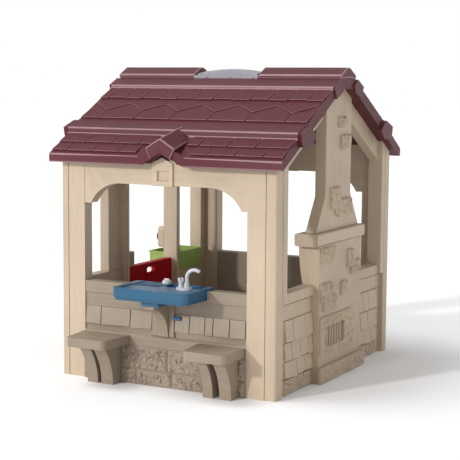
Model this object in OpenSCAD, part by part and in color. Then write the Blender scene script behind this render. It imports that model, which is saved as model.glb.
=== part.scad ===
// A child's moulded plastic playhouse: open front and back, a gable with a half door and a
// flower tray on the left, a chimney on the right, a ribbed roof with two small dormers and a
// skylight, and a play sink with two stools on the front wall.
// Millimetres, Z up. The front faces -Y, the chimney faces +X and the half door faces -X.
// The origin is on the floor, under the centre of everything.

/* [House] */
// Half length of the house over its corner posts, along X
post_x = 616; // [560:1:640]
// Half depth of the house over its corner posts, along Y
post_y = 716; // [700:1:730]
// Outer face of the gable siding, along X
siding_x = 599; // [585:1:605]
// Inner face of the gable walls, along X
gable_in_x = 543; // [530:1:560]
// Inner face of the front and back walls, along Y
wall_in_y = 650; // [630:1:670]
// Half width between the side legs of two posts on one gable, along Y
post_gap_y = 600; // [560:1:620]
// Rounding of the outer corner of the two wide posts
post_round = 14; // [10:1:35]
// Rounding of the outer corner of the two narrow posts
narrow_post_round = 7; // [3:1:35]
// Half length of the house over its two narrow posts, along X
narrow_post_x = 624; // [605:1:630]
// Height of the window sills and of the front wall
sill_z = 509; // [460:1:560]
// Distance from the centre to the post on the door side, on the front wall
front_left_x = 485; // [440:1:520]
// Distance from the centre to the post on the chimney side, on the front wall
front_right_x = 455; // [420:1:500]

/* [Front and back] */
// Top of the bottom row of stones
stone_split_z = 77; // [50:1:110]
// Top of the stone plinth
plinth_z = 196; // [150:1:230]
// Outer face of the stone plinth, along Y
plinth_y = 727; // [720:1:740]
// Height of the arched opening under each header
arch_z = 1018; // [950:1:1050]
// Radius of the arch at each end of the opening
arch_radius = 193.5; // [150:0.5:230]
// Height where each arch stops against its post
arch_foot_z = 912; // [880:1:940]

/* [Roof] */
// Half length of the roof, along X
roof_x = 664; // [650:1:680]
// Right end of the lower batten, along X
batten_x = 684; // [675:1:700]
// Right end of the upper batten, along X
upper_batten_x = 673; // [665:1:684]
// Left end of the lower batten, along X, measured to the left
left_batten_x = 696; // [675:1:700]
// Left end of the upper batten, along X, measured to the left
left_upper_batten_x = 678; // [665:1:684]
// Outer end of the ridge cap on the chimney side, along X
ridge_x = 669; // [660:1:680]
// Outer end of the ridge cap on the door side, along X, measured to the left
left_ridge_x = 676; // [660:1:684]
// Outer face of the eaves, along Y
eave_y = 774; // [760:1:780]
// Top of the ridge caps, the highest point
ridge_top_z = 1608; // [1590:1:1620]
// Left end of the skylight, along X
skylight_x0 = -195; // [-230:1:-150]
// Right end of the skylight, along X
skylight_x1 = 190; // [150:1:230]
// Centre of each dormer, along X
dormer_x = 4; // [-20:1:20]
// Front face of the dormer caps, along Y
dormer_y = 785; // [778:1:795]

/* [Sink] */
// Left end of the counter, along X
counter_x0 = -196; // [-220:1:-160]
// Right end of the counter, along X
counter_x1 = 233; // [200:1:260]
// Front edge of the counter, along Y, measured toward the front
counter_y = 915; // [880:1:925]
// Top of the counter
counter_z = 522; // [515:1:540]
// Thickness of the counter
counter_t = 60; // [40:1:70]
// Depth of the basin
basin_depth = 42; // [20:1:50]

/* [Stools] */
// Front edge of both stools, along Y, measured toward the front
stool_y = 930; // [900:1:960]
// Top of the seats
seat_z = 248; // [220:1:280]
// Thickness of the seats
seat_t = 47; // [30:1:50]

/* [Chimney] */
// Half width of the chimney breast, along Y
breast_y = 272; // [240:1:290]
// Outer face of the chimney breast, along X
breast_x = 640; // [625:1:645]
// Top of the chimney breast
breast_z = 708; // [660:1:740]
// Top of the mantel
mantel_z = 772; // [765:1:790]
// Half width of the stack, along Y
stack_y = 163; // [130:1:190]
// Outer face of the stack, along X
stack_x = 618; // [610:1:630]

/* [Half door] */
// Half width of the doorway, along Y
doorway_y = 256; // [230:1:265]
// Height of the doorway
doorway_z = 1240; // [1150:1:1260]
// Top of the half door
door_z = 510; // [460:1:512]
// Thickness of the half door
door_t = 40; // [34:1:44]
// Radius of the two hinge pins
pin_radius = 8; // [6:0.5:10]

/* [Doorbell and tray] */
// Radius of the doorbell button
button_radius = 27.4; // [20:0.1:30]
// Outer face of the flower tray, along X, measured to the left
tray_x = 720; // [690:1:740]
// Wall thickness of the flower tray
tray_wall = 5; // [4:0.5:8]

/* [Hidden] */
$fn = 64;
shift_x = (tray_x - batten_x) / 2;
shift_y = (stool_y - dormer_y) / 2;
eave_z = 1118;
roof_foot = [760, eave_z];
roof_head = [72, 1500];
roof_peak_z = 1555;
flange_y = 97;
window_peak_z = 1439;
window_slope = 0.5645;
header_y = 714;
band_y = 722;
cap_z = 450;
trim_y = 708;
pilaster_y = 720;
shingle_z0 = 286;
shingle_z1 = 380;
ledge_z = 261;
trim_foot_z = 459;
fire_y = [-205, 35];
fire_z = [180, 288];
skylight_rim_z = 1566;
dome_top_z = 1600;
dome_rise_x = 16;
dome_rise_y = 12;
counter_z0 = counter_z - counter_t;
counter_back_y = 655;
hinge_x = -555;
hinge_y = -228;
door_x0 = hinge_x - door_t / 2;
door_end_y = 243;
door_foot_z = 42;
threshold_z = 22;
running_gap = 0.06;
groove = 5;
groove_depth = 4;
bell_y = 301;
bell_z = 624;
bell_x = 636;
spout_at = [157, -778];
tap_at = [126, -782];
dial_at = [-15, -680];
tray_y0 = 285;
tray_y1 = 598;
tray_z0 = 430;
tray_z1 = 535;

beige = [0.88, 0.83, 0.76];
taupe = [0.63, 0.58, 0.5];
maroon = [0.43, 0.26, 0.28];
crimson = [0.44, 0.02, 0.09];
blue = [0.16, 0.43, 0.58];
green = [0.45, 0.66, 0.22];
white = [0.9, 0.9, 0.9];
grey = [0.7, 0.69, 0.72];
dark = [0.2, 0.2, 0.21];

// ---- Helpers ----

// An outline in Y and Z, pushed along X from x0 to x1
module along_x(x0, x1) {
  translate([x0, 0, 0])
    rotate([90, 0, 90])
      linear_extrude(height = x1 - x0)
        children();
}

// An outline in X and Z, pushed along Y from y0 to y1
module along_y(y0, y1) {
  translate([0, y1, 0])
    rotate([90, 0, 0])
      linear_extrude(height = y1 - y0)
        children();
}

// An outline in X and Y, pushed up from z0 to z1
module along_z(z0, z1) {
  translate([0, 0, z0])
    linear_extrude(height = z1 - z0)
      children();
}

module box(x, y, z) {
  translate([x[0], y[0], z[0]])
    cube([x[1] - x[0], y[1] - y[0], z[1] - z[0]]);
}

// Moves a piece from the house's own axes to the part's axes
module place() {
  translate([shift_x, shift_y, 0])
    children();
}

// Turns a front piece round to the back
module to_back() {
  rotate([0, 0, 180])
    children();
}

function arc(c, r, a0, a1, steps = 8) =
  [for (i = [0:steps]) c + r * [cos(a0 + (a1 - a0) * i / steps), sin(a0 + (a1 - a0) * i / steps)]];

module rounded_rect(x0, x1, y0, y1, r) {
  polygon(concat(
    arc([x0 + r, y0 + r], r, 180, 270),
    arc([x1 - r, y0 + r], r, 270, 360),
    arc([x1 - r, y1 - r], r, 0, 90),
    arc([x0 + r, y1 - r], r, 90, 180)
  ));
}

// Everything below the underside of the roof
module under_roof() {
  along_x(-roof_x, roof_x)
    polygon([
      [-roof_foot[0], -1], [-roof_foot[0], roof_foot[1]], [-roof_head[0], roof_head[1]],
      [roof_head[0], roof_head[1]], [roof_foot[0], roof_foot[1]], [roof_foot[0], -1]
    ]);
}

// ---- Corner posts ----

// Plan of a post from its inner edge to its outer face, with a groove down its front
module post_plan(inner, outer, rounding, line_x) {
  difference() {
    union() {
      translate([inner, -post_y])
        square([outer - inner, post_y - wall_in_y]);
      translate([gable_in_x, -post_y])
        square([outer - gable_in_x, post_y - post_gap_y]);
    }
    difference() {
      translate([outer - rounding, -post_y - 1])
        square([rounding + 1, rounding + 1]);
      translate([outer - rounding, -post_y + rounding])
        circle(rounding);
    }
    translate([line_x, -post_y - 1])
      square([groove, groove_depth + 1]);
  }
}

module corner_post(inner, outer, rounding, line_x) {
  difference() {
    intersection() {
      along_z(0, 1250)
        post_plan(inner, outer, rounding, line_x);
      under_roof();
    }
    // Below the sill trim the gable panel takes the place of the side leg
    box([gable_in_x - 1, outer + 1], [-wall_in_y, -post_gap_y + 1], [-1, trim_foot_z]);
    box([outer - groove_depth, outer + 1], [-wall_in_y - 3, -wall_in_y + 2], [trim_foot_z, 1250]);
  }
}

module wide_post() {
  corner_post(front_right_x, post_x, post_round, 553);
}

module narrow_post() {
  corner_post(front_left_x, narrow_post_x, narrow_post_round, 582);
}

module front_right_post() {
  color(beige)
    place()
      wide_post();
}

module front_left_post() {
  color(beige)
    place()
      mirror([1, 0, 0])
        narrow_post();
}

module back_left_post() {
  color(beige)
    place()
      to_back()
        wide_post();
}

module back_right_post() {
  color(beige)
    place()
      to_back()
        mirror([1, 0, 0])
          narrow_post();
}

// ---- Front and back walls ----

// The wall in section, stones at the foot, one row of shingles and a cap
module wall_section() {
  polygon([
    [-wall_in_y, 0], [-wall_in_y, sill_z], [-header_y, sill_z], [-header_y, cap_z],
    [-trim_y, cap_z - 3], [-trim_y, shingle_z1], [-trim_y + 4, shingle_z1],
    [-header_y, shingle_z0], [-trim_y, shingle_z0], [-trim_y, ledge_z],
    [-band_y, ledge_z - 14], [-band_y, plinth_z], [-plinth_y, plinth_z - 2], [-plinth_y, 0]
  ]);
}

module low_wall() {
  difference() {
    union() {
      along_x(-front_left_x, front_right_x)
        wall_section();
      box([-77, 49], [-pilaster_y, -wall_in_y - 1], [ledge_z, counter_z0]);
    }
    for (x = [-387, -210, 137, 224, 270, 362])
      box([x - groove / 2, x + groove / 2], [-plinth_y, -trim_y + groove_depth],
        [shingle_z0, shingle_z1]);
    box([-front_left_x - 1, front_right_x + 1], [-plinth_y - 1, -plinth_y + groove_depth],
      [stone_split_z, stone_split_z + groove]);
    for (x = [-262, 13, 236])
      box([x, x + groove], [-plinth_y - 1, -plinth_y + groove_depth],
        [stone_split_z + groove, plinth_z]);
    for (x = [-350, -171, 37, 240])
      box([x, x + groove], [-plinth_y - 1, -plinth_y + groove_depth], [-1, stone_split_z]);
  }
}

module front_wall() {
  color(taupe)
    place()
      difference() {
        low_wall();
        box([counter_x0, counter_x1], [-header_y - 7, -counter_back_y], [counter_z0, sill_z + 1]);
      }
}

module back_wall() {
  color(taupe)
    place()
      to_back()
        low_wall();
}

// ---- Headers ----

module header_opening() {
  translate([-275, 0])
    square([525, arch_z]);
  for (x = [-275, 250])
    translate([x, arch_z - arch_radius])
      circle(arch_radius, $fn = 128);
}

module header() {
  difference() {
    union() {
      intersection() {
        along_y(-header_y, -wall_in_y)
          difference() {
            translate([-front_left_x, arch_foot_z])
              square([front_left_x + front_right_x, 1240 - arch_foot_z]);
            header_opening();
          }
        under_roof();
      }
      along_y(-header_y - 10, -wall_in_y)
        polygon([[-78, arch_z - 3], [42, arch_z - 3], [42, 1128], [-18, 1158], [-78, 1128]]);
    }
    box([-46, 22], [-header_y - 11, -header_y - 2], [1040, 1092]);
  }
}

module front_header() {
  color(beige)
    place()
      header();
}

module back_header() {
  color(beige)
    place()
      to_back()
        header();
}

// ---- Gable walls ----

// Lines between the rows of shingles on a gable wall, on its +X face
module siding_lines() {
  for (z = [80, 153, 257, 373, cap_z])
    box([siding_x - groove_depth, siding_x + 1], [-wall_in_y - 1, wall_in_y + 1],
      [z, z + groove]);
}

// A gable wall below the sill from y0 to y1, on the +X side; it is wider below the trim
module gable_panel(y0, y1, top) {
  difference() {
    union() {
      box([gable_in_x, siding_x], [max(y0, -post_gap_y), min(y1, post_gap_y)], [0, top]);
      box([gable_in_x, siding_x], [y0, y1], [0, min(top, trim_foot_z)]);
    }
    siding_lines();
    for (y = [y0 + 60:120:y1 - 30])
      box([siding_x - groove_depth, siding_x + 1], [y, y + groove], [153 + groove, 257]);
    for (y = [y0 + 110:120:y1 - 30])
      box([siding_x - groove_depth, siding_x + 1], [y, y + groove], [257 + groove, 373]);
    for (y = [y0 + 90:120:y1 - 30])
      box([siding_x - groove_depth, siding_x + 1], [y, y + groove], [80 + groove, 153]);
  }
}

module sill_trim(y0, y1) {
  box([siding_x, siding_x + 10], [y0, y1], [trim_foot_z, sill_z]);
}

module right_wall_front() {
  color(beige)
    place() {
      gable_panel(-wall_in_y, -breast_y, sill_z);
      sill_trim(-post_gap_y, -breast_y);
    }
}

module right_wall_back() {
  color(beige)
    place() {
      gable_panel(breast_y, wall_in_y, sill_z);
      sill_trim(breast_y, post_gap_y);
    }
}

// The edge of a raking window head
function rake_z(y) = window_peak_z - window_slope * y;

module right_gable() {
  color(beige)
    place()
      difference() {
        intersection() {
          along_x(gable_in_x, siding_x)
            polygon([
              [-post_gap_y, rake_z(post_gap_y)], [0, window_peak_z],
              [post_gap_y, rake_z(post_gap_y)], [post_gap_y, 1520], [-post_gap_y, 1520]
            ]);
          under_roof();
        }
        box([gable_in_x + 15, siding_x + 1], [-stack_y, stack_y], [1300, 1520]);
      }
}

// The stepped casing on the inner side of the doorway, on the door's hinge side
module door_casing(z0, z1) {
  box([-gable_in_x, -513], [-294, -277], [z0, z1]);
  box([-gable_in_x, -505], [-277, -doorway_y], [z0, z1]);
}

module left_wall_front() {
  color(beige)
    place() {
      mirror([1, 0, 0]) {
        gable_panel(-wall_in_y, -doorway_y, sill_z);
        sill_trim(-post_gap_y, -406);
      }
      door_casing(0, sill_z);
    }
}

// A low sill across the foot of the doorway
module door_threshold() {
  color(beige)
    place()
      box([-siding_x, -513], [-doorway_y, doorway_y], [0, threshold_z]);
}

module left_wall_back() {
  color(beige)
    place() {
      mirror([1, 0, 0])
        gable_panel(doorway_y, wall_in_y, tray_z0);
      box([-siding_x, -507], [doorway_y, 276], [tray_z0, sill_z]);
      box([-siding_x, -gable_in_x], [post_gap_y, wall_in_y], [tray_z0, trim_foot_z]);
      box([-gable_in_x, -507], [doorway_y, 276], [0, tray_z0]);
    }
}

module left_gable() {
  color(beige)
    place() {
      difference() {
        intersection() {
          along_x(-siding_x, -gable_in_x)
            difference() {
              translate([-post_gap_y, sill_z])
                square([2 * post_gap_y, 1000]);
              // Front window, doorway and back window
              polygon([
                [-post_gap_y - 1, sill_z - 1], [-406, sill_z - 1], [-406, rake_z(406)],
                [-post_gap_y - 1, rake_z(post_gap_y + 1)]
              ]);
              translate([-doorway_y, sill_z - 1])
                square([2 * doorway_y, doorway_z - sill_z + 1]);
              polygon([
                [400, sill_z - 1], [post_gap_y + 1, sill_z - 1],
                [post_gap_y + 1, rake_z(post_gap_y + 1)], [400, rake_z(400)]
              ]);
              translate([276, sill_z - 1])
                square([200, 545 - sill_z + 1]);
            }
          under_roof();
        }
        // The pier beside the back window is only as thick as its outer flange
        box([-570, -gable_in_x + 1], [276, 400], [540, 1200]);
      }
      door_casing(sill_z, doorway_z);
      box([-gable_in_x, -507], [doorway_y, 276], [sill_z, doorway_z]);
    }
}

// ---- Chimney ----

// One raised stone on a face that looks toward +X
module raised_stone(face, y, z) {
  box([face - 1, face + 8], [y[0], y[1]], [z[0], z[1]]);
}

module chimney_breast() {
  color(beige)
    place() {
      difference() {
        along_y(-breast_y, breast_y)
          polygon([
            [gable_in_x, 0], [breast_x, 0], [breast_x, breast_z], [520, breast_z], [523, 650],
            [531, 580], [gable_in_x, sill_z]
          ]);
        box([622, breast_x + 1], fire_y, fire_z);
      }
      raised_stone(breast_x, [-262, -93], [622, 696]);
      raised_stone(breast_x, [74, 148], [562, 654]);
      raised_stone(breast_x, [122, 241], [518, 588]);
      raised_stone(breast_x, [-7, 63], [425, 496]);
      raised_stone(breast_x, [-262, -122], [422, 510]);
      raised_stone(breast_x, [-230, -76], [368, 438]);
    }
}

module fireplace_surround() {
  color(beige)
    place()
      along_x(breast_x, breast_x + 10)
        difference() {
          rounded_rect(-268, 148, 140, 340, 14);
          rounded_rect(fire_y[0], fire_y[1], fire_z[0], fire_z[1], 10);
        }
}

module fireplace_bars() {
  color(beige)
    place() {
      for (y = [-187:34:17])
        translate([631, y, fire_z[0] + 6])
          cylinder(r = 7, h = fire_z[1] - fire_z[0] - 12);
      for (z = [fire_z[0], fire_z[1] - 6])
        box([623, 639], fire_y, [z, z + 6]);
    }
}

module hearth() {
  color(beige)
    place()
      along_z(0, 85)
        rounded_rect(breast_x, 662, -285, 285, 9);
}

module mantel() {
  color(beige)
    place() {
      along_y(-312, 305)
        rounded_rect(516, 645, breast_z, mantel_z, 11);
    }
}

module chimney_stack() {
  color(beige)
    place() {
      intersection() {
        along_x(gable_in_x + 15, stack_x)
          polygon([
            [-277, mantel_z], [277, mantel_z], [stack_y, 951], [stack_y, 1520], [-stack_y, 1520],
            [-stack_y, 951]
          ]);
        under_roof();
      }
      raised_stone(stack_x, [-104, 26], [905, 988]);
      raised_stone(stack_x, [-40, 136], [850, 926]);
      raised_stone(stack_x, [-18, 75], [1302, 1353]);
      raised_stone(stack_x, [15, 137], [1189, 1260]);
    }
}

// ---- Roof ----

// The upper surface of the front slope from the eave to the ridge
slope_top = [
  [-eave_y, 1161], [-607, 1259], [-605, 1291], [-489, 1334],
  [-193, 1494], [-193, 1509], [-114, 1547], [-30, roof_peak_z], [0, roof_peak_z]
];

// One slope in section, on the front side
module slope_section() {
  polygon(concat(
    [[0, roof_head[1]], [-roof_head[0], roof_head[1]], [-roof_foot[0], roof_foot[1]]],
    [[-eave_y, eave_z]],
    slope_top
  ));
}

// The two battens where they stand past one end of the slope
module lower_batten_end(x0, x1) {
  along_x(x0, x1)
    polygon([[-600, 1290], [-505, 1325], [-430, 1275], [-474, 1226], [-585, 1222]]);
}

module upper_batten_end(x0, x1) {
  along_x(x0, x1)
    polygon([[-192, 1509], [-114, 1547], [-69, 1518], [-82, 1483], [-161, 1448]]);
}

// The arch in the eave under a dormer cap, wider through the eave lip than behind it
module dormer_arch() {
  translate([dormer_x, 0, 0]) {
    along_y(-eave_y - 20, -eave_y + 30)
      polygon([
        [-128, 1100], [128, 1100], [128, 1116], [66, 1148], [0, 1181], [-66, 1148], [-128, 1116]
      ]);
    along_y(-eave_y + 29, -wall_in_y)
      polygon([[-70, 1100], [70, 1100], [70, 1134], [0, 1181], [-70, 1134]]);
  }
}

// The eave rises on both sides of the dormer and meets the slope behind
module eave_rise() {
  translate([dormer_x, 0, 0])
    along_y(-eave_y, -eave_y + 80)
      polygon([[-133, 1160], [133, 1160], [86, 1188], [60, 1200], [-60, 1200], [-86, 1188]]);
}

module slope() {
  difference() {
    union() {
      along_x(-roof_x, roof_x)
        slope_section();
      lower_batten_end(-left_batten_x, -roof_x);
      lower_batten_end(roof_x, batten_x);
      upper_batten_end(-left_upper_batten_x, -roof_x);
      upper_batten_end(roof_x, upper_batten_x);
      eave_rise();
    }
    dormer_arch();
    box([skylight_x0 + 30, skylight_x1 - 30], [-66, 66], [1490, 1570]);
  }
}

module front_roof() {
  color(maroon)
    place()
      slope();
}

module back_roof() {
  color(maroon)
    place()
      to_back()
        mirror([1, 0, 0])
          slope();
}

// Section of everything that sits over the ridge, up to a given height and width
module ridge_section(half_width, top, shoulder) {
  foot = roof_peak_z - 8 * (half_width - 30) / 84;
  polygon([
    [-half_width, foot], [-half_width, top - shoulder], [-19, top], [19, top],
    [half_width, top - shoulder], [half_width, foot], [30, roof_peak_z], [-30, roof_peak_z]
  ]);
}

module left_ridge_cap() {
  color(maroon)
    place()
      along_x(-left_ridge_x, skylight_x0)
        ridge_section(95, ridge_top_z, 38);
}

module right_ridge_cap() {
  color(maroon)
    place()
      along_x(skylight_x1, ridge_x)
        ridge_section(95, ridge_top_z, 38);
}

module dormer_cap() {
  difference() {
    intersection() {
      translate([dormer_x, -dormer_y, 1153])
        rotate([14, 0, 0])
          along_y(-60, 300)
            polygon([[0, 99], [84, 50], [58, 0], [0, 28], [-58, 0], [-84, 50]]);
      box([-200, 200], [-dormer_y, -500], [1100, 1320]);
    }
    // Everything below the upper surface of the slope
    along_x(-roof_x, roof_x)
      polygon(concat([[0, 1000], [-eave_y, 1000]], slope_top));
    eave_rise();
  }
}

module front_dormer_cap() {
  color(maroon)
    place()
      dormer_cap();
}

module back_dormer_cap() {
  color(maroon)
    place()
      to_back()
        mirror([1, 0, 0])
          dormer_cap();
}

// ---- Skylight ----

module skylight_frame() {
  color(grey)
    place()
      difference() {
        along_x(skylight_x0, skylight_x1)
          ridge_section(flange_y, skylight_rim_z, 0.4);
        box([skylight_x0 + 30, skylight_x1 - 30], [-66, 66], [1500, 1600]);
      }
}

// A pillow: its top bends down toward its ends along X and toward its sides along Y
module pillow(half_x, half_y, top, base) {
  radius_x = (half_x * half_x + dome_rise_x * dome_rise_x) / (2 * dome_rise_x);
  radius_y = (half_y * half_y + dome_rise_y * dome_rise_y) / (2 * dome_rise_y);
  intersection() {
    translate([(skylight_x0 + skylight_x1) / 2, 0, 0])
      box([-half_x, half_x], [-half_y, half_y], [base, top + 1]);
    translate([(skylight_x0 + skylight_x1) / 2, 0, top - radius_x])
      rotate([90, 0, 0])
        rotate_extrude($fn = 360)
          intersection() {
            translate([radius_x - radius_y, 0])
              circle(r = radius_y, $fn = 360);
            translate([0, -half_y - 1])
              square([radius_x + 1, 2 * half_y + 2]);
          }
  }
}

module skylight_dome() {
  half_x = (skylight_x1 - skylight_x0) / 2 - 12;
  color(grey)
    place()
      difference() {
        pillow(half_x, 80, dome_top_z, skylight_rim_z);
        pillow(half_x - 5, 75, dome_top_z - 5, skylight_rim_z - 3);
      }
}

module skylight_rivets() {
  color(grey)
    place()
      for (x = [-120, 28, 160])
        for (turn = [0, 180])
          rotate([0, 0, turn])
            translate([x, -flange_y, skylight_rim_z - 10])
              rotate([90, 0, 0])
                cylinder(r1 = 7, r2 = 5, h = 4);
}

// ---- Sink ----

module counter_plan(inset) {
  rounded_rect(counter_x0 + inset, counter_x1 - inset, -counter_y + inset, -counter_back_y, 30);
}

module corbel_outline() {
  difference() {
    translate([-862, ledge_z])
      square([862 - pilaster_y, counter_z0 - ledge_z]);
    translate([-882, 266])
      circle(r = 154, $fn = 128);
    translate([-1100, 0])
      square([1100 - 748, 300]);
  }
}

module counter() {
  color(blue)
    place()
      difference() {
        union() {
          along_z(counter_z0 + 14, counter_z)
            counter_plan(0);
          along_z(counter_z0, counter_z0 + 14)
            counter_plan(6);
          // Flange over the top of the wall
          box([counter_x0 - 10, counter_x1 + 8], [-header_y, -counter_back_y],
            [sill_z, counter_z]);
          // Socket for the corbel
          box([-45, 54], [-876, -800], [436, counter_z0 + 1]);
        }
        // Basin
        along_z(counter_z - basin_depth, counter_z + 1)
          rounded_rect(10, 202, -745, -668, 24);
        // Shallow apron that drains to the basin
        along_z(counter_z - 4, counter_z + 1)
          rounded_rect(-168, 212, -880, -662, 22);
        // Seat of the drain grate
        along_z(counter_z - 12, counter_z + 1)
          rounded_rect(-152, 2, -780, -698, 10);
        // Bore for the stem of the dial
        translate([dial_at[0], dial_at[1], counter_z - 26])
          cylinder(r = 5 + running_gap, h = 40);
        // Room for the corbel
        box([-34.3, 20.3], [-863, -700], [420, counter_z0]);
      }
}

module drain_grate() {
  color(blue)
    place()
      difference() {
        along_z(counter_z - 12, counter_z - 5)
          rounded_rect(-151.5, 1.5, -779.5, -698.5, 9.5);
        for (x = [-143:17:-16])
          box([x, x + 9], [-772, -706], [counter_z - 13, counter_z]);
      }
}

module corbel() {
  color(taupe)
    place()
      along_x(-34, 20)
        corbel_outline();
}

module counter_clip() {
  color(blue)
    place()
      box([49, 90], [-728, -trim_y], [350, 367]);
}

module faucet_base() {
  color(white)
    place() {
      along_z(counter_z - 4, counter_z + 8)
        rounded_rect(102, 182, -803, -757, 20);
      for (at = [spout_at, tap_at])
        translate([at[0], at[1], counter_z + 7])
          cylinder(r = 6, h = 24);
    }
}

module faucet_spout() {
  reach = 40;
  bend = 130;
  tube = 9;
  color(white)
    place()
      translate([spout_at[0], spout_at[1], 0])
        rotate([0, 0, 12])
          difference() {
            union() {
              translate([0, 0, counter_z + 8.4])
                cylinder(r1 = 14, r2 = 12, h = 24);
              translate([0, 0, counter_z + 32])
                cylinder(r = tube, h = 24);
              translate([reach, 0, counter_z + 56])
                rotate([90, 0, 0])
                  rotate([0, 0, 180 - bend])
                    rotate_extrude(angle = bend)
                      translate([reach, 0])
                        circle(tube);
              // Collar where the straight tube meets the bend
              translate([0, 0, counter_z + 54])
                cylinder(r = tube + 1, h = 4);
            }
            translate([0, 0, counter_z + 8])
              cylinder(r = 6 + running_gap, h = 23.5);
            // Outlet in the end of the tube
            translate([reach - reach * cos(bend), 0, counter_z + 56 + reach * sin(bend)])
              rotate([0, bend - 180, 0])
                translate([0, 0, -1])
                  cylinder(r = 6, h = 10);
          }
}

module tap_knob() {
  color(white)
    place()
      translate([tap_at[0], tap_at[1], 0])
        difference() {
          union() {
            translate([0, 0, counter_z + 8.4])
              cylinder(r1 = 13, r2 = 10, h = 22);
            translate([0, 0, counter_z + 30])
              cylinder(r = 13, h = 16);
            for (a = [0, 90])
              rotate([0, 0, a])
                box([-15, 15], [-3, 3], [counter_z + 38, counter_z + 54]);
          }
          translate([0, 0, counter_z + 8])
            cylinder(r = 6 + running_gap, h = 23.5);
        }
}

module counter_dial() {
  color(white)
    place()
      translate([dial_at[0], dial_at[1], 0]) {
        translate([0, 0, counter_z - 24])
          cylinder(r = 5, h = 25);
        translate([0, 0, counter_z + 0.4])
          rotate_extrude()
            polygon(concat([[0, 0], [24, 0]], arc([12, 8], 12, 0, 90, 4), [[0, 20]]));
        box([-14, 14], [-4, 4], [counter_z + 18, counter_z + 27]);
      }
}

// ---- Stools ----

// One leg plate from x0 to x1, its front edge a hollow curve
module stool_leg(x0, x1) {
  foot_y = 803;
  curve = 287.4;
  along_x(x0, x1)
    difference() {
      translate([-890, 0])
        square([890 - plinth_y, seat_z - seat_t]);
      translate([-foot_y - curve, 0])
        circle(r = curve, $fn = 160);
    }
}

// A seat with back corners at the wall and rounded front corners
module seat(wall_x0, wall_x1, front_x0, front_x1) {
  r = 30;
  along_z(seat_z - seat_t, seat_z)
    polygon(concat(
      [[wall_x1, -plinth_y], [wall_x0, -plinth_y]],
      arc([front_x0 + r, -stool_y + r], r, 180, 270),
      arc([front_x1 - r, -stool_y + r], r, 270, 360)
    ));
}

module left_stool() {
  color(taupe)
    place() {
      seat(-484, -209, -463, -231);
      stool_leg(-412, -350);
      stool_leg(-328, -258);
    }
}

module right_stool() {
  color(taupe)
    place() {
      seat(196, 449, 215, 448);
      stool_leg(264, 318);
      stool_leg(356, 420);
    }
}

// ---- Half door ----

module half_door() {
  color(crimson)
    place()
      difference() {
        union() {
          translate([hinge_x, hinge_y, door_foot_z])
            cylinder(r = door_t / 2, h = door_z - door_foot_z);
          along_x(door_x0, door_x0 + door_t)
            polygon([
              [hinge_y, door_foot_z], [door_end_y, door_foot_z], [door_end_y, door_z - 6],
              [door_end_y - 6, door_z], [hinge_y, door_z]
            ]);
        }
        // Finger hole in a hollow of the outer face
        along_x(door_x0 - 1, door_x0 + door_t + 1)
          rounded_rect(-28, 72, 455, 485, 14.9);
        along_x(door_x0 - 1, door_x0 + door_t - 14)
          rounded_rect(-40, 84, 446, 494, 20);
        // Bores for the hinge pins
        translate([hinge_x, hinge_y, door_z - 70])
          cylinder(r = pin_radius + running_gap, h = 71);
        translate([hinge_x, hinge_y, door_foot_z - 1])
          cylinder(r = pin_radius + running_gap, h = 71);
        // Plank lines on both faces
        for (y = [-120, -20, 80, 180])
          for (x = [door_x0 - 1, door_x0 + door_t - groove_depth])
            box([x, x + groove_depth + 1], [y, y + groove], [door_foot_z + 40, 440]);
      }
}

module hinge_bracket(z0, z1, bore_z) {
  difference() {
    along_z(z0, z1)
      polygon([[-575, -doorway_y], [-520, -doorway_y], [-520, -185], [-535, -170], [-575, -170]]);
    translate([hinge_x, hinge_y, bore_z])
      cylinder(r = pin_radius, h = 50);
  }
}

module upper_hinge_bracket() {
  color(taupe)
    place()
      hinge_bracket(door_z + 3, door_z + 85, door_z + 2);
}

module lower_hinge_bracket() {
  color(taupe)
    place()
      hinge_bracket(threshold_z, door_foot_z - 3, threshold_z + 2);
}

module hinge_pins() {
  color(dark)
    place() {
      translate([hinge_x, hinge_y, door_z - 60])
        cylinder(r = pin_radius, h = 112);
      translate([hinge_x, hinge_y, threshold_z + 2])
        cylinder(r = pin_radius, h = 80);
    }
}

// ---- Doorbell ----

// Distances from here on run inward, along +X, from the front face of the housing
module from_bell_face(depth) {
  translate([-bell_x + depth, bell_y, bell_z])
    rotate([0, 90, 0])
      children();
}

module doorbell_housing() {
  color(beige)
    place()
      difference() {
        along_x(-bell_x, -siding_x)
          rounded_rect(doorway_y, 346, 564, 684, 20);
        from_bell_face(-1)
          cylinder(r = button_radius + 0.3, h = 8);
        from_bell_face(6)
          cylinder(r = button_radius + 3.4, h = 24);
      }
}

module doorbell_button() {
  color(maroon)
    place() {
      from_bell_face(-22)
        cylinder(r1 = button_radius - 4, r2 = button_radius, h = 5);
      from_bell_face(-17)
        cylinder(r = button_radius, h = 24);
      from_bell_face(6.4)
        cylinder(r = button_radius + 2.6, h = 5);
    }
}

// A folded rubber bellows that pushes the button back out
module doorbell_spring() {
  wall = 1.2;
  fold = 4.5;
  folds = [[11, 0], [15, 1], [11, 2], [15, 3], [11, 4]];
  color(dark)
    place()
      from_bell_face(11.7)
        rotate_extrude()
          polygon(concat(
            [for (f = folds) [f[0], f[1] * fold]],
            [for (i = [4:-1:0]) [folds[i][0] - wall - 0.5, folds[i][1] * fold]]
          ));
}

// ---- Tray and bench ----

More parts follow.
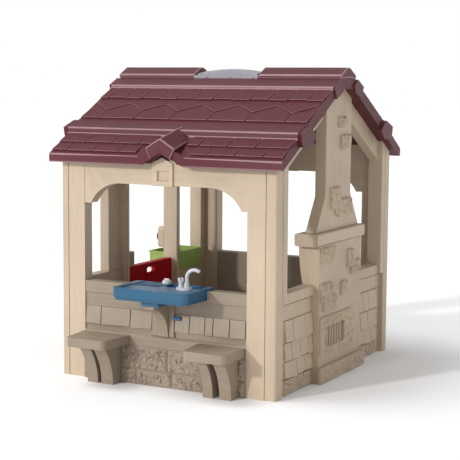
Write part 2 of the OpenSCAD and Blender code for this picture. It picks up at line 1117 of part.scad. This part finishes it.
module window_tray() {
  color(green)
    place()
      difference() {
        union() {
          along_z(tray_z0, tray_z1)
            rounded_rect(-tray_x + 6, -530, tray_y0, tray_y1, 10);
          along_z(tray_z1 - 8, tray_z1)
            rounded_rect(-tray_x, -siding_x - 5, tray_y0 - 5, tray_y1 + 1.5, 12);
        }
        along_z(tray_z0 + tray_wall, tray_z1 + 1)
          rounded_rect(-tray_x + 6 + tray_wall, -530 - tray_wall, tray_y0 + tray_wall,
            tray_y1 - tray_wall, 8);
      }
}

module inside_bench() {
  color(green)
    place() {
      along_z(351, 383)
        rounded_rect(-162, -20, 450, wall_in_y - 0.5, 20);
      for (x = [-152, -50])
        box([x, x + 20], [470, wall_in_y - 0.5], [0, 351]);
    }
}

front_left_post();
front_right_post();
back_left_post();
back_right_post();
front_wall();
back_wall();
front_header();
back_header();
left_wall_front();
left_wall_back();
left_gable();
door_threshold();
right_wall_front();
right_wall_back();
right_gable();
chimney_breast();
fireplace_surround();
fireplace_bars();
hearth();
mantel();
chimney_stack();
front_roof();
back_roof();
left_ridge_cap();
right_ridge_cap();
front_dormer_cap();
back_dormer_cap();
skylight_frame();
skylight_dome();
skylight_rivets();
counter();
drain_grate();
faucet_base();
faucet_spout();
tap_knob();
counter_dial();
corbel();
counter_clip();
left_stool();
right_stool();
half_door();
upper_hinge_bracket();
lower_hinge_bracket();
hinge_pins();
doorbell_housing();
doorbell_button();
doorbell_spring();
window_tray();
inside_bench();
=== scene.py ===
"""Looks of a moulded plastic playhouse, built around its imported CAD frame.

Sizes are in millimetres in the house's own axes, whose origin is on the floor, midway between
the corner posts. at() turns them into metres in the row frame.
"""

import math
import random

import bmesh
import bpy
from mathutils import Matrix, Vector, noise


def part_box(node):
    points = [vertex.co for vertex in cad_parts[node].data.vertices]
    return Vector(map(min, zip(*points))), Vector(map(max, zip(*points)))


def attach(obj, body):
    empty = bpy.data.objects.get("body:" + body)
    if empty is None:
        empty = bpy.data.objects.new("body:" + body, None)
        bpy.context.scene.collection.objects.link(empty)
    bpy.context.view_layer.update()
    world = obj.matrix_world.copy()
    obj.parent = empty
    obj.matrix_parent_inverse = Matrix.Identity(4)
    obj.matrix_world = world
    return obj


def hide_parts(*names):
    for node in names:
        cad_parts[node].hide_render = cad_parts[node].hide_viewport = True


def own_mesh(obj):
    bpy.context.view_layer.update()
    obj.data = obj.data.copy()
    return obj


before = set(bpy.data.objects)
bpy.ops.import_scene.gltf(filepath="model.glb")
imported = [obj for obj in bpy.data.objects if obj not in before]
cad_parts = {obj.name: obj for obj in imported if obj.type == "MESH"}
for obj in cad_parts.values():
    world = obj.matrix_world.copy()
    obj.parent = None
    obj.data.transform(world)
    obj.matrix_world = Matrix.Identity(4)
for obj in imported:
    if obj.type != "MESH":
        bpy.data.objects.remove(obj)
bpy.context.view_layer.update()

MM = 0.001
HOUSE = "house"

# The two narrow posts stand corner to corner, so the middle of the house is halfway between them
_front, _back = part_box("front_left_post"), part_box("back_right_post")
ORIGIN = Vector(((_front[0].x + _back[1].x) / 2, (_front[0].y + _back[1].y) / 2, 0))


def at(x, y, z):
    """A point of the house, in mm, as a point of the row frame, in metres."""
    return ORIGIN + Vector((x, y, z)) * MM


# ---------------------------------------------------------------- materials


def new_material(name):
    mat = bpy.data.materials.new(name)
    mat.use_nodes = True
    tree = mat.node_tree
    tree.nodes.clear()
    out = tree.nodes.new("ShaderNodeOutputMaterial")
    shader = tree.nodes.new("ShaderNodeBsdfPrincipled")
    tree.links.new(shader.outputs[0], out.inputs[0])
    return mat, tree, shader


def stretched_noise(tree, scale, detail=4.0, rough=0.55):
    """Noise in object space, its three scales given per metre."""
    coord = tree.nodes.new("ShaderNodeTexCoord")
    mapping = tree.nodes.new("ShaderNodeMapping")
    mapping.inputs["Scale"].default_value = scale
    tex = tree.nodes.new("ShaderNodeTexNoise")
    tex.inputs["Scale"].default_value = 1.0
    tex.inputs["Detail"].default_value = detail
    tex.inputs["Roughness"].default_value = rough
    tree.links.new(coord.outputs["Object"], mapping.inputs[0])
    tree.links.new(mapping.outputs[0], tex.inputs["Vector"])
    return tex.outputs["Fac"]


def ramp(tree, fac, stops):
    node = tree.nodes.new("ShaderNodeValToRGB")
    node.color_ramp.elements[0].position = stops[0][0]
    node.color_ramp.elements[0].color = (*stops[0][1], 1)
    node.color_ramp.elements[1].position = stops[-1][0]
    node.color_ramp.elements[1].color = (*stops[-1][1], 1)
    for pos, col in stops[1:-1]:
        e = node.color_ramp.elements.new(pos)
        e.color = (*col, 1)
    tree.links.new(fac, node.inputs[0])
    return node.outputs[0]


def mix(tree, fac, a, b, kind="MIX"):
    """Mixes two colours; each of fac, a and b is a socket or a plain value."""
    node = tree.nodes.new("ShaderNodeMix")
    node.data_type = "RGBA"
    node.blend_type = kind
    for socket, value in ((node.inputs[0], fac), (node.inputs[6], a), (node.inputs[7], b)):
        if hasattr(value, "links"):
            tree.links.new(value, socket)
        elif isinstance(value, (int, float)):
            socket.default_value = value
        else:
            socket.default_value = (*value, 1)
    return node.outputs[2]


def shade(col, k):
    return tuple(min(1.0, c * k) for c in col)


def plastic(name, colour, grain, roughness=0.5, grain_bump=0.35, mottle=0.08, specular=0.5,
            pitted=0.0, wear_and_sheen=None, hollow_shade=0.0, edges=0.35):
    """Moulded polyethylene: soft colour variation, long moulded wood grain and lighter sharp edges,
    partly wear and partly a painted highlight.

    grain holds the noise scales per metre along X, Y and Z; a low one runs along the grain.
    The colour given for sharp edges stands partly for wear and partly paints a highlight, and edges is
    how far they take it; the hollow setting darkens hollows with painted shade.
    """
    mat, tree, shader = new_material(name)
    blotch = stretched_noise(tree, (3.1, 3.1, 3.1), 3.0)
    lines = stretched_noise(tree, grain, 5.0, 0.6)
    fine = stretched_noise(tree, (420, 420, 420), 2.0)
    base = ramp(tree, blotch, [(0.3, shade(colour, 1 - mottle)), (0.7, shade(colour, 1 + mottle))])
    streak = ramp(tree, lines, [(0.35, (0.9, 0.9, 0.9)), (0.62, (1.04, 1.04, 1.04))])
    body = mix(tree, 0.75, base, streak, "MULTIPLY")
    geometry = tree.nodes.new("ShaderNodeNewGeometry")
    edge = ramp(tree, geometry.outputs["Pointiness"], [(0.53, (0, 0, 0)), (0.62, (1, 1, 1))])
    edge_fac = tree.nodes.new("ShaderNodeRGBToBW")
    tree.links.new(edge, edge_fac.inputs[0])
    edge_amount = tree.nodes.new("ShaderNodeMath")
    edge_amount.operation = "MULTIPLY"
    edge_amount.inputs[1].default_value = edges
    tree.links.new(edge_fac.outputs[0], edge_amount.inputs[0])
    # Sharp edges turn lighter: partly wear, partly a painted highlight
    wear_and_sheen_colour = wear_and_sheen or tuple(min(1.0, 1.2 * c + 0.008) for c in colour)
    body = mix(tree, edge_amount.outputs[0], body, wear_and_sheen_colour)
    # Painted shade: concave places turn darker
    if hollow_shade:
        painted_hollow_shade = ramp(tree, geometry.outputs["Pointiness"], [(0.42, (1 - hollow_shade,) * 3), (0.5, (1, 1, 1))])
        body = mix(tree, 1.0, body, painted_hollow_shade, "MULTIPLY")
    tree.links.new(body, shader.inputs["Base Color"])
    rough = ramp(tree, lines, [(0.3, (roughness + 0.08,) * 3), (0.7, (roughness - 0.06,) * 3)])
    tree.links.new(rough, shader.inputs["Roughness"])
    shader.inputs["Specular IOR Level"].default_value = specular
    bump = tree.nodes.new("ShaderNodeBump")
    bump.inputs["Strength"].default_value = grain_bump
    bump.inputs["Distance"].default_value = 0.0012
    tree.links.new(lines, bump.inputs["Height"])
    pits = tree.nodes.new("ShaderNodeBump")
    pits.inputs["Strength"].default_value = 0.12 + pitted
    pits.inputs["Distance"].default_value = 0.0004 + 0.002 * pitted
    tree.links.new(fine, pits.inputs["Height"])
    tree.links.new(bump.outputs[0], pits.inputs["Normal"])
    tree.links.new(pits.outputs[0], shader.inputs["Normal"])
    return mat


# Noise scales of the moulded grain, per metre along X, Y and Z
UP_GRAIN = (150, 150, 5)
ALONG_X = (5, 150, 150)
ALONG_Y = (150, 5, 150)
DOWN_SLOPE = (150, 9, 9)
EVEN_COARSE = (30, 30, 30)
EVEN_FINE = (40, 40, 40)

BEIGE = (0.47, 0.37, 0.265)
TAUPE = (0.268, 0.212, 0.155)
MAROON = (0.096, 0.02, 0.026)
# Lighter maroon for the sharp roof edges: a painted highlight
MAROON_EDGE_HIGHLIGHT = (0.2, 0.11, 0.12)

beige_up = plastic("beige_upright", BEIGE, UP_GRAIN)
beige_x = plastic("beige_along_x", BEIGE, ALONG_X)
beige_y = plastic("beige_along_y", BEIGE, ALONG_Y)
# The stone looks darken their hollows with painted shade
beige_stone = plastic("beige_stone", BEIGE, EVEN_COARSE, 0.6, 0.8, 0.12, pitted=0.5, hollow_shade=0.5)
taupe_x = plastic("taupe_along_x", TAUPE, ALONG_X)
taupe_up = plastic("taupe_upright", shade(TAUPE, 1.06), UP_GRAIN)
taupe_stone = plastic("taupe_stone", shade(TAUPE, 1.12), EVEN_COARSE, 0.6, 0.8, 0.14, pitted=0.5,
                      hollow_shade=0.6)
maroon_x = plastic("maroon_along_x", MAROON, ALONG_X, 0.42, 0.3, 0.07, 0.2, wear_and_sheen=MAROON_EDGE_HIGHLIGHT,
                   edges=0.4)
maroon_slope = plastic("maroon_down_slope", MAROON, DOWN_SLOPE, 0.45, 0.4, 0.09, 0.15,
                       wear_and_sheen=MAROON_EDGE_HIGHLIGHT, edges=0.15)
# A lighter maroon for bevel faces: a painted highlight along the roof's edges
maroon_painted_highlight = plastic("maroon_painted_highlight", (0.27, 0.15, 0.165), ALONG_X, 0.4, 0.2, 0.05, 0.3)
crimson = plastic("crimson", (0.34, 0.0009, 0.01), UP_GRAIN, 0.45, 0.15, 0.05, 0.06)
blue = plastic("blue", (0.013, 0.092, 0.178), EVEN_FINE, 0.34, 0.06, 0.05)
green = plastic("green", (0.255, 0.36, 0.075), EVEN_FINE, 0.42, 0.08, 0.06)
white = plastic("white_gloss", (0.5, 0.515, 0.54), EVEN_COARSE, 0.22, 0.03, 0.03)
rubber = plastic("bellows_rubber", (0.02, 0.02, 0.02), (80, 80, 80), 0.7, 0.1, 0.1)


def smoke_plastic():
    """Grey plastic that lets a little light through."""
    mat, tree, shader = new_material("smoke_plastic")
    cloud = stretched_noise(tree, (9, 9, 9), 3.0)
    col = ramp(tree, cloud, [(0.3, (0.31, 0.295, 0.33)), (0.7, (0.37, 0.35, 0.39))])
    tree.links.new(col, shader.inputs["Base Color"])
    shader.inputs["Roughness"].default_value = 0.3
    shader.inputs["Transmission Weight"].default_value = 0.18
    shader.inputs["IOR"].default_value = 1.45
    bump = tree.nodes.new("ShaderNodeBump")
    bump.inputs["Strength"].default_value = 0.08
    bump.inputs["Distance"].default_value = 0.0006
    tree.links.new(stretched_noise(tree, (60, 60, 60), 2.0), bump.inputs["Height"])
    tree.links.new(bump.outputs[0], shader.inputs["Normal"])
    return mat


def steel_material():
    mat, tree, shader = new_material("pin_steel")
    turning_marks = stretched_noise(tree, (60, 60, 900), 3.0)
    col = ramp(tree, turning_marks, [(0.3, (0.4, 0.4, 0.41)), (0.7, (0.6, 0.6, 0.6))])
    tree.links.new(col, shader.inputs["Base Color"])
    shader.inputs["Metallic"].default_value = 1.0
    shader.inputs["Roughness"].default_value = 0.35
    return mat


smoke = smoke_plastic()
steel = steel_material()

# ---------------------------------------------------------------- mesh tools


def finish_object(name, bm, mat, body=HOUSE, bevel=0.0, segments=2, smooth=40, painted_highlight_mat=None):
    """Makes an object of a bmesh, in row frame metres, and rides it on a body.

    bevel is in mm and smooth in degrees; the bevelled edges can take a material of their own, a lighter
    colour that paints a highlight along them.
    """
    bmesh.ops.recalc_face_normals(bm, faces=bm.faces)
    mesh = bpy.data.meshes.new(name)
    bm.to_mesh(mesh)
    bm.free()
    obj = bpy.data.objects.new(name, mesh)
    bpy.context.scene.collection.objects.link(obj)
    mesh.materials.append(mat)
    if painted_highlight_mat:
        mesh.materials.append(painted_highlight_mat)
    mesh.shade_smooth()
    mesh.set_sharp_from_angle(angle=math.radians(smooth))
    if bevel:
        mod = obj.modifiers.new("bevel", "BEVEL")
        mod.width = bevel * MM
        mod.segments = segments
        mod.limit_method = "ANGLE"
        mod.angle_limit = math.radians(35)
        mod.harden_normals = True
        mod.material = 1 if painted_highlight_mat else -1
    flat = obj.modifiers.new("flat_faces", "WEIGHTED_NORMAL")
    flat.keep_sharp = True
    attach(obj, body)
    return obj


def face_thickness(face):
    longest = max(e.calc_length() for e in face.edges)
    return face.calc_area() / longest if longest else 0


def refine(node, mat, wide=4.0, fine=1.2, body=HOUSE, thick=12.0, smooth=40, painted_highlight_mat=None,
           shortest=0.0):
    """A copy of a CAD node with rounded edges: wide on big faces and fine elsewhere, in mm.

    An edge is wide where both its faces are thicker than thick and it is longer than shortest.
    """
    bm = bmesh.new()
    bm.from_mesh(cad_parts[node].data)
    bmesh.ops.remove_doubles(bm, verts=bm.verts, dist=1e-6)
    bmesh.ops.dissolve_limit(bm, angle_limit=math.radians(1.0), verts=bm.verts, edges=bm.edges)
    if wide:
        bm.normal_update()
        edges = [
            e for e in bm.edges
            if len(e.link_faces) == 2
            and e.calc_face_angle(0) > math.radians(35)
            and min(face_thickness(f) for f in e.link_faces) > thick * MM
            and e.calc_length() > shortest * MM
        ]
        # New bevel faces take the painted highlight material, when one is given
        bmesh.ops.bevel(bm, geom=edges, offset=wide * MM, segments=3, profile=0.5,
                        affect="EDGES", clamp_overlap=True, material=1 if painted_highlight_mat else -1)
    obj = finish_object("vis_" + node, bm, mat, body, fine, 2, smooth, painted_highlight_mat)
    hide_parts(node)
    return obj


class Plane:
    """A flat face to build relief on: a corner in mm, two directions along it and its normal."""

    def __init__(self, origin, u, v, n):
        self.o = Vector(origin)
        self.u, self.v, self.n = Vector(u).normalized(), Vector(v).normalized(), Vector(n).normalized()

    def point(self, u, v, h):
        p = self.o + self.u * u + self.v * v + self.n * h
        return at(p.x, p.y, p.z)


def add_tile(bm, plane, outline, v_low, v_high, low, high, sink=1.5):
    """A wedge on a plane: outline in (u, v), its top `low` mm proud at v_low and `high` at v_high."""
    def lift(v):
        return low + (high - low) * (v - v_low) / (v_high - v_low)
    top = [bm.verts.new(plane.point(u, v, lift(v))) for u, v in outline]
    foot = [bm.verts.new(plane.point(u, v, -sink)) for u, v in outline]
    bm.faces.new(top)
    bm.faces.new(list(reversed(foot)))
    for i in range(len(outline)):
        j = (i + 1) % len(outline)
        bm.faces.new((top[i], foot[i], foot[j], top[j]))


def tile_row(bm, plane, joints, v_low, v_high, low, high, gap, slack, rng):
    """A row of rectangular shingles between joints along u, their feet uneven by slack."""
    for a, b in zip(joints, joints[1:]):
        drop_a = rng.uniform(-slack, slack)
        drop_b = rng.uniform(-slack, slack)
        outline = [(a + gap / 2, v_low + drop_a), (b - gap / 2, v_low + drop_b),
                   (b - gap / 2, v_high), (a + gap / 2, v_high)]
        lean = rng.uniform(0, 1.2)
        add_tile(bm, plane, outline, v_low, v_high, low + lean, high)


def stone_height(p, seed):
    """Chiselled relief from 0 to about 1 at a point in mm: chips with tilted faces, taller than wide."""
    q = Vector((p[0] / 17 + seed * 7.3, p[1] / 17 - seed * 3.1, p[2] / 23 + seed))
    chip = noise.voronoi(q)[1][0]
    away = q - chip
    level = 0.45 + 0.55 * noise.noise(chip * 3.3)
    tilt = 1.1 * (noise.noise(chip * 5.1) * (away.x + away.y) + noise.noise(chip * 4.3) * away.z)
    return max(0.0, level + tilt + 0.12 * noise.fractal(q * 2.3, 0.7, 2.0, 3))


def add_stone(bm, plane, u0, u1, v0, v1, depth, relief, seed, cell=4.0, sink=2.0, ragged=0.0):
    """A rough stone face: a grid whose rim dives into the wall and whose middle is chiselled."""
    nu = max(3, int((u1 - u0) / cell))
    nv = max(3, int((v1 - v0) / cell))
    rows = []
    for j in range(nv + 1):
        row = []
        for i in range(nu + 1):
            u = u0 + (u1 - u0) * i / nu
            v = v0 + (v1 - v0) * j / nv
            rim = min(i, nu - i, j, nv - j)
            q = plane.o + plane.u * u + plane.v * v
            if rim == 0:
                h = -sink
            else:
                h = depth + relief * stone_height(q, seed)
                if rim == 1:
                    h *= 0.72
                    u += (0.45 if i == 1 else -0.45 if i == nu - 1 else 0) * -cell
                    v += (0.45 if j == 1 else -0.45 if j == nv - 1 else 0) * -cell
            if ragged:
                u += ragged * noise.noise(q / 24 + Vector((seed, 0, 0)))
                v += ragged * noise.noise(q / 24 + Vector((0, seed, 5)))
            row.append(bm.verts.new(plane.point(u, v, h)))
        rows.append(row)
    for j in range(nv):
        for i in range(nu):
            bm.faces.new((rows[j][i], rows[j][i + 1], rows[j + 1][i + 1], rows[j + 1][i]))


# ---------------------------------------------------------------- walls and posts

for post in ("front_left_post", "front_right_post", "back_left_post", "back_right_post"):
    refine(post, beige_up, 4.0, 1.2)
for node in ("front_header", "back_header"):
    refine(node, beige_x, 5.0, 1.2)
for node in ("front_wall", "back_wall"):
    refine(node, taupe_x, 4.0, 1.2)
for node in ("left_wall_front", "left_wall_back", "right_wall_front", "right_wall_back",
             "left_gable", "right_gable", "chimney_stack", "chimney_breast"):
    refine(node, beige_up, 4.0, 1.2)
refine("door_threshold", beige_y, 3.0)
refine("mantel", beige_y, 6.0)

FRONT = Plane((0, -708, 0), (1, 0, 0), (0, 0, 1), (0, -1, 0))
BACK = Plane((0, 708, 0), (-1, 0, 0), (0, 0, 1), (0, 1, 0))
SIDING_R = Plane((599, 0, 0), (0, 1, 0), (0, 0, 1), (1, 0, 0))
SIDING_L = Plane((-599, 0, 0), (0, 1, 0), (0, 0, 1), (-1, 0, 0))

rng = random.Random(7)

# Joints between the shingles on the front wall, on each side of the pilaster
SHINGLE_RUNS = ((-480, -387, -210, -80), (52, 137, 224, 270, 362, 450))
# Joints between the stones of each row, and the row's bottom and top
PLINTH_ROWS = (((-482, -260, 15, 238, 452), 82, 194), ((-482, -348, -169, 39, 242, 452), 3, 77))


def wall_shingles(name, plane):
    bm = bmesh.new()
    for run in SHINGLE_RUNS:
        tile_row(bm, plane, run, 290, 379, low=13.0, high=4.0, gap=4.0, slack=4.0, rng=rng)
    finish_object(name, bm, taupe_up, bevel=1.2)


def plinth_stones(name, plane):
    bm = bmesh.new()
    seed = 1
    for joints, v0, v1 in PLINTH_ROWS:
        for a, b in zip(joints, joints[1:]):
            add_stone(bm, plane, a + 2, b - 2, v0, v1, depth=18.5, relief=12.0, seed=seed)
            seed += 1
    finish_object(name, bm, taupe_stone, smooth=16)


wall_shingles("front_shingles", FRONT)
wall_shingles("back_shingles", BACK)
plinth_stones("front_stones", FRONT)
plinth_stones("back_stones", BACK)

# Rows of gable shingles: bottom, top, and the outer joints toward the front and the back
GABLE_ROWS = (
    (268, 372, (-597, -505, -368), (395, 472, 597)),
    (172, 261, (-597, -520, -422, -330), (362, 466, 597)),
    (86, 165, (-597, -460, -362), (410, 522, 597)),
)


def gable_cover(name, plane, inner, seed):
    """Shingles over a row of stones, from the posts to `inner` on each side of the middle."""
    tiles = bmesh.new()
    stones = bmesh.new()
    for v0, v1, front_joints, back_joints in GABLE_ROWS:
        for joints in ((*front_joints, -inner), (inner, *back_joints)):
            tile_row(tiles, plane, joints, v0, v1, low=14.0, high=4.0, gap=4.0, slack=6.0, rng=rng)
    for a, b in ((-597, -480), (-480, -372), (-372, -inner), (inner, 392), (392, 497), (497, 597)):
        add_stone(stones, plane, a + 2, b - 2, 3, 80, depth=3.0, relief=12.0, seed=seed)
        seed += 1
    finish_object(name + "_shingles", tiles, beige_up, bevel=1.2)
    finish_object(name + "_stones", stones, beige_stone, smooth=16)


gable_cover("right_gable_cover", SIDING_R, 274, 60)
gable_cover("left_gable_cover", SIDING_L, 260, 40)

# ---------------------------------------------------------------- chimney

refine("fireplace_surround", beige_up, 2.0)
refine("fireplace_bars", beige_up, 0)
refine("hearth", beige_y, 3.0)

BREAST = Plane((640, 0, 0), (0, 1, 0), (0, 0, 1), (1, 0, 0))
STACK = Plane((618, 0, 0), (0, 1, 0), (0, 0, 1), (1, 0, 0))
HEARTH = Plane((662, 0, 0), (0, 1, 0), (0, 0, 1), (1, 0, 0))
HEARTH_END = Plane((640, -285, 0), (1, 0, 0), (0, 0, 1), (0, -1, 0))


def chimney_stones():
    bm = bmesh.new()
    for k, (y0, y1, z0, z1) in enumerate((
        (-264, -91, 620, 698), (72, 150, 560, 656), (120, 243, 516, 590), (-8, 64, 423, 498),
        (-264, -120, 420, 512), (-232, -74, 366, 440),
        (-266, -130, 292, 339), (-128, 20, 292, 339), (22, 146, 292, 339), (-266, -209, 182, 290),
        (39, 146, 182, 290), (-266, -140, 142, 178), (-138, 20, 142, 178), (22, 146, 142, 178),
    )):
        add_stone(bm, BREAST, y0, y1, z0, z1, 11.0, 10.0, 80 + k, ragged=7.0)
    for k, (y0, y1, z0, z1) in enumerate((
        (-106, 20, 880, 992), (-20, 154, 838, 930), (-20, 77, 1300, 1355), (13, 139, 1187, 1262),
    )):
        add_stone(bm, STACK, y0, y1, z0, z1, 12.0, 9.0, 95 + k, ragged=9.0)
    for k, (a, b) in enumerate(((-284, -150), (-150, 40), (40, 160), (160, 284))):
        add_stone(bm, HEARTH, a + 1, b - 1, 3, 84, 1.0, 8.0, 110 + k)
    add_stone(bm, HEARTH_END, 1, 22, 3, 84, 0.5, 3.0, 120)
    finish_object("chimney_stones", bm, beige_stone, smooth=16)


chimney_stones()

# ---------------------------------------------------------------- roof

ROOF_X = 664
# Roof bevels take a lighter maroon that paints a highlight along them
# Only the long edges of a slope take the wide bevel: the short ones beside a rib leave no room
for node in ("front_roof", "back_roof"):
    refine(node, maroon_x, 6.0, 1.5, painted_highlight_mat=maroon_painted_highlight, shortest=400)
for node in ("left_ridge_cap", "right_ridge_cap", "front_dormer_cap", "back_dormer_cap"):
    refine(node, maroon_x, 7.0, 1.5, painted_highlight_mat=maroon_painted_highlight)

# Foot and head of the two tiled fields of a slope: distance from the middle of the house, height
UPPER_FOOT, UPPER_HEAD = (514, 1320), (193, 1494)
LOWER_FOOT, LOWER_HEAD = (774, 1161), (607, 1259)


def slope_plane(foot, head, side):
    """The plane of a roof field; side is -1 at the front and 1 at the back."""
    run, rise = foot[0] - head[0], head[1] - foot[1]
    return Plane((0, side * foot[0], foot[1]), (1, 0, 0), (0, -side * run, rise), (0, side * rise, run))


def spaced(first, step, low, high):
    """Joint places from a phase and a step, kept between two ends, ends included."""
    k = math.ceil((low - first) / step + 0.25)
    places = [low]
    while first + k * step < high - 0.25 * step:
        places.append(first + k * step)
        k += 1
    return places + [high]


def roof_tiles(name, side):
    bm = bmesh.new()
    upper = slope_plane(UPPER_FOOT, UPPER_HEAD, side)
    lower = slope_plane(LOWER_FOOT, LOWER_HEAD, side)
    edge = ROOF_X - 3
    gap = 3
    # Small shingles under the upper batten, every second one a little shorter
    small_step, small_foot, small_head = 107.5, 240, 364
    joints = spaced(35, small_step, -edge, edge)
    for k, (a, b) in enumerate(zip(joints, joints[1:])):
        low = small_foot + (6 if k % 2 else 0)
        outline = [(a + gap, low), (b - gap, low), (b - gap, small_head), (a + gap, small_head)]
        add_tile(bm, upper, outline, low, small_head, 10.0, 1.0)
    # Pointed shingles whose tips meet the joints of the row below
    phase, step, foot, tip, peak, line = 105, 216.5, 27, 112, 190, 238

    def foot_of_pointed(u, mid):
        return tip + (peak - tip) * abs(u - mid) / (step / 2) + 2

    for k in range(-4, 4):
        mid = phase + k * step
        a, b = max(mid - step / 2, -edge), min(mid + step / 2, edge)
        if b - a < 20:
            continue
        outline = [(a + gap, foot_of_pointed(a, mid))]
        if a < mid < b:
            outline.append((mid, tip + 2))
        outline += [(b - gap, foot_of_pointed(b, mid)), (b - gap, line - gap), (a + gap, line - gap)]
        add_tile(bm, upper, outline, tip, line, 9.0, 1.5)
    # Big shingles over the lower batten, with a square head where the edge of the roof cuts them
    joints = spaced(phase, step, -edge, edge)
    for a, b in zip(joints, joints[1:]):
        if b - a > 0.9 * step:
            head = [(b - gap, tip - gap), ((a + b) / 2, peak - gap), (a + gap, tip - gap)]
        else:
            head = [(b - gap, tip + 17), (a + gap, tip + 17)]
        outline = [(a + gap, foot), (b - gap, foot)] + head
        add_tile(bm, upper, outline, foot, peak, 10.0, 1.0)
    # Two staggered rows between the lower batten and the eave, on both sides of the dormer
    for joints, v0, v1 in (
        ((-edge, -499, -337, -182, -90), 105, 192),
        ((98, 168, 325, 480, edge), 105, 192),
        ((-edge, -571, -412, -257, -150), 26, 103),
        ((158, 250, 401, 552, edge), 26, 103),
    ):
        tile_row(bm, lower, joints, v0, v1, low=10.0, high=3.0, gap=7.0, slack=1.0, rng=rng)
    # Tile bevels take the lighter maroon of a painted highlight
    finish_object(name, bm, maroon_slope, bevel=1.7, painted_highlight_mat=maroon_painted_highlight)


roof_tiles("front_roof_tiles", -1)
roof_tiles("back_roof_tiles", 1)

# ---------------------------------------------------------------- skylight

for node in ("skylight_frame", "skylight_dome", "skylight_rivets"):
    refine(node, smoke, 1.0 if node == "skylight_frame" else 0, 0.6)

# ---------------------------------------------------------------- sink

refine("counter", blue, 12.0, 2.5, thick=14)
refine("drain_grate", blue, 0, 0.6)
refine("counter_clip", blue, 2.0)
refine("corbel", taupe_up, 4.0)
refine("faucet_base", white, 2.0, 1.0, thick=6)
refine("faucet_spout", white, 0, 0.8, body="faucet_spout")
refine("tap_knob", white, 0, 1.0, body="tap_knob")
refine("counter_dial", white, 0, 1.5, body="counter_dial")

# ---------------------------------------------------------------- stools, tray, bench

for node in ("left_stool", "right_stool"):
    refine(node, taupe_x, 11.0, 2.5)
refine("window_tray", green, 0, 1.5)
refine("inside_bench", green, 6.0, 2.0)

# ---------------------------------------------------------------- door and doorbell

refine("half_door", crimson, 5.0, 1.2, body="half_door")
for node in ("upper_hinge_bracket", "lower_hinge_bracket"):
    refine(node, taupe_up, 4.0)
refine("hinge_pins", steel, 0, 0.5)
refine("doorbell_housing", beige_up, 4.0, 1.2)
refine("doorbell_button", maroon_x, 0, 1.5, body="doorbell_button")
bellows = refine("doorbell_spring", rubber, 0, 0)
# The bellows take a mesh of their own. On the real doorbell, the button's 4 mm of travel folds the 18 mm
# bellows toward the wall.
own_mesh(bellows)

# ---------------------------------------------------------------- stage


def stage():
    bm = bmesh.new()
    reach = 60
    signs = ((-1, -1), (1, -1), (1, 1), (-1, 1))
    bm.faces.new([bm.verts.new(Vector((x * reach, y * reach, 0))) for x, y in signs])
    mesh = bpy.data.meshes.new("floor")
    bm.to_mesh(mesh)
    bm.free()
    floor = bpy.data.objects.new("floor", mesh)
    bpy.context.scene.collection.objects.link(floor)
    mat, tree, shader = new_material("pale_floor")
    shader.inputs["Base Color"].default_value = (0.94, 0.94, 0.94, 1)
    shader.inputs["Roughness"].default_value = 0.9
    shader.inputs["Specular IOR Level"].default_value = 0.0
    mesh.materials.append(mat)

    studio_world()
    # A weak light from the front, a crisp one from the front left, a high soft one and a softbox
    key = add_light("key", "SUN", at(-500, -4000, 2500), Vector((0.13, 1.0, -0.46)), 0.3)
    key.angle = math.radians(6)
    side = add_light("side", "SUN", at(-2500, -4000, 2500), Vector((0.5, 1.0, -0.42)), 1.55)
    side.angle = math.radians(4)
    top = add_light("top", "SUN", at(0, 0, 4000), Vector((0.42, 0.17, -0.9)), 1.2)
    top.angle = math.radians(30)
    left = add_light("left", "AREA", at(-4200, -5200, 1900), Vector((0.62, 0.78, -0.16)), 8)
    left.shape = "RECTANGLE"
    left.size, left.size_y = 3.0, 2.4


def studio_world():
    """White up to a little above the horizon, then darker toward the top."""
    world = bpy.data.worlds.new("studio")
    bpy.context.scene.world = world
    world.use_nodes = True
    tree = world.node_tree
    coord = tree.nodes.new("ShaderNodeTexCoord")
    split = tree.nodes.new("ShaderNodeSeparateXYZ")
    tree.links.new(coord.outputs["Generated"], split.inputs[0])
    shades = [(0.1, (1, 1, 1)), (0.3, (0.62, 0.62, 0.63)), (0.7, (0.55, 0.55, 0.56))]
    sky = ramp(tree, split.outputs[2], shades)
    tree.links.new(sky, tree.nodes["Background"].inputs[0])
    tree.nodes["Background"].inputs[1].default_value = 1.0


def add_light(name, kind, place, travel, energy):
    light = bpy.data.lights.new(name, kind)
    light.energy = energy
    obj = bpy.data.objects.new(name, light)
    bpy.context.scene.collection.objects.link(obj)
    obj.rotation_mode = "QUATERNION"
    obj.rotation_quaternion = travel.to_track_quat("-Z", "Y")
    obj.location = place
    return light


def camera():
    """The camera's place is in mm in the house's axes; its angles are in degrees."""
    place = at(3281.6, -6192.9, 1534.9)
    a, e, roll = math.radians(28.0652), math.radians(6.5707), math.radians(0.3921)
    focal, frame_size = 1292.4844, 460
    ahead = Vector((-math.sin(a) * math.cos(e), math.cos(a) * math.cos(e), -math.sin(e)))
    right = Vector((math.cos(a), math.sin(a), 0))
    up = right.cross(ahead)
    r = right * math.cos(roll) + up * math.sin(roll)
    u = -right * math.sin(roll) + up * math.cos(roll)
    data = bpy.data.cameras.new("camera")
    data.sensor_width = 36
    data.lens = focal / frame_size * 36
    data.clip_end = 200
    cam = bpy.data.objects.new("camera", data)
    bpy.context.scene.collection.objects.link(cam)
    m = Matrix((r, u, -ahead)).transposed()
    cam.rotation_mode = "QUATERNION"
    cam.rotation_quaternion = m.to_quaternion()
    cam.location = place
    bpy.context.scene.camera = cam
    bpy.context.scene.view_settings.view_transform = "Standard"


stage()
camera()
